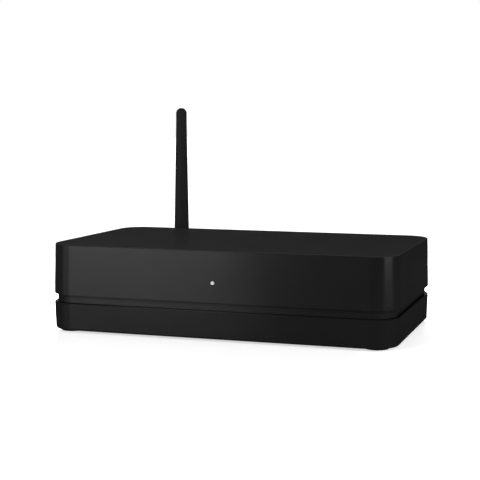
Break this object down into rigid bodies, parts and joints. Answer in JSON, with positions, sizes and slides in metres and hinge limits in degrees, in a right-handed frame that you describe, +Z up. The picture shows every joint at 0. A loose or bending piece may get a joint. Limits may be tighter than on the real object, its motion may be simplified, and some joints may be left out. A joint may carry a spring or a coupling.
{
  "type": "wireless audio hub",
  "caption": "Low black box in two halves with a recessed band between them, a small front light, a rear socket panel and a swivelling, tilting rod antenna.",
  "frame": {"origin": "centre of the case's plan, on the surface that the four feet stand on", "axes": "+X along the case to the right seen from the front, +Y to the back where the sockets are, +Z up"},
  "size_m": [0.18, 0.1297, 0.1146],
  "materials": {
    "case_plastic": "black satin moulded plastic with a fine spark texture",
    "panel_plastic": "black matt moulded plastic",
    "foot_rubber": "black soft rubber",
    "screw_steel": "zinc plated steel",
    "black_steel": "black oxide steel",
    "circuit_board": "green glass-fibre laminate with solder mask",
    "clear_plastic": "clear acrylic rod with a frosted end",
    "led_body": "white ceramic body with a clear lens",
    "chip_plastic": "dark grey epoxy",
    "capacitor_can": "plain aluminium can",
    "ferrite": "dark grey ferrite",
    "nickel_plate": "bright nickel plate",
    "gold_plate": "gold plated brass",
    "lead_jacket": "dark grey fluoropolymer jacket",
    "socket_plastic": "black moulded nylon",
    "button_plastic": "dark grey moulded plastic",
    "shutter_plastic": "black moulded plastic",
    "white_plastic": "white moulded plastic",
    "red_plastic": "red moulded plastic",
    "antenna_plastic": "black satin moulded plastic"
  },
  "bodies": {
    "housing": {"top_cover": "case_plastic", "base_tray": "case_plastic", "rubber_feet": "foot_rubber", "case_screws": "screw_steel", "rear_panel": "panel_plastic", "main_board": "circuit_board", "board_screws": "screw_steel", "light_pipe": "clear_plastic", "status_led": "led_body", "signal_processor": "chip_plastic", "audio_converters": "chip_plastic", "filter_capacitors": "capacitor_can", "power_inductor": "ferrite", "radio_board": "circuit_board", "radio_shield": "nickel_plate", "antenna_lead_plug": "gold_plate", "antenna_socket": "gold_plate", "antenna_socket_washer": "nickel_plate", "antenna_socket_nut": "nickel_plate", "antenna_lead": "lead_jacket", "power_inlet_body": "socket_plastic", "power_inlet_pin": "nickel_plate", "group_switch_body": "nickel_plate", "pair_button_switch": "socket_plastic", "usb_socket_shell": "nickel_plate", "usb_socket_tongue": "socket_plastic", "optical_receiver": "socket_plastic", "line_jack_housing": "socket_plastic", "line_jack_sleeves": "nickel_plate", "line_jack_insert_left": "white_plastic", "line_jack_insert_right": "red_plastic", "jack_screw": "black_steel", "aux_jack_body": "socket_plastic", "aux_jack_nut": "nickel_plate", "antenna_coupling_nut": "antenna_plastic"},
    "antenna_barrel": {"antenna_swivel_barrel": "antenna_plastic", "antenna_hinge_pin": "black_steel"},
    "antenna_rod": {"antenna_knuckle": "antenna_plastic", "antenna_whip": "antenna_plastic", "antenna_radiator": "gold_plate"},
    "group_slider": {"group_switch_slider": "socket_plastic"},
    "pair_button": {"pair_button_cap": "button_plastic"},
    "optical_flap": {"optical_shutter": "shutter_plastic"}
  },
  "joints": [
    {"name": "antenna_swivel", "type": "hinge", "parent": "housing", "child": "antenna_barrel", "pos_m": [-0.0635, 0.0715, 0.0303], "axis": [0, 1, 0], "range_deg": [-90, 90]},
    {"name": "antenna_tilt", "type": "hinge", "parent": "antenna_barrel", "child": "antenna_rod", "pos_m": [-0.0635, 0.0715, 0.0303], "axis": [-1, 0, 0], "range_deg": [0, 90]},
    {"name": "group_slide", "type": "slide", "parent": "housing", "child": "group_slider", "axis": [1, 0, 0], "range_m": [-0.002, 0.002]},
    {"name": "pair_press", "type": "slide", "parent": "housing", "child": "pair_button", "axis": [0, -1, 0], "range_m": [0, 0.0005], "stiffness_N_per_m": 1500},
    {"name": "optical_flap_swing", "type": "hinge", "parent": "housing", "child": "optical_flap", "pos_m": [0.003, 0.04855, 0.032], "axis": [-1, 0, 0], "range_deg": [0, 88], "stiffness_Nm_per_rad": 0.0003}
  ]
}
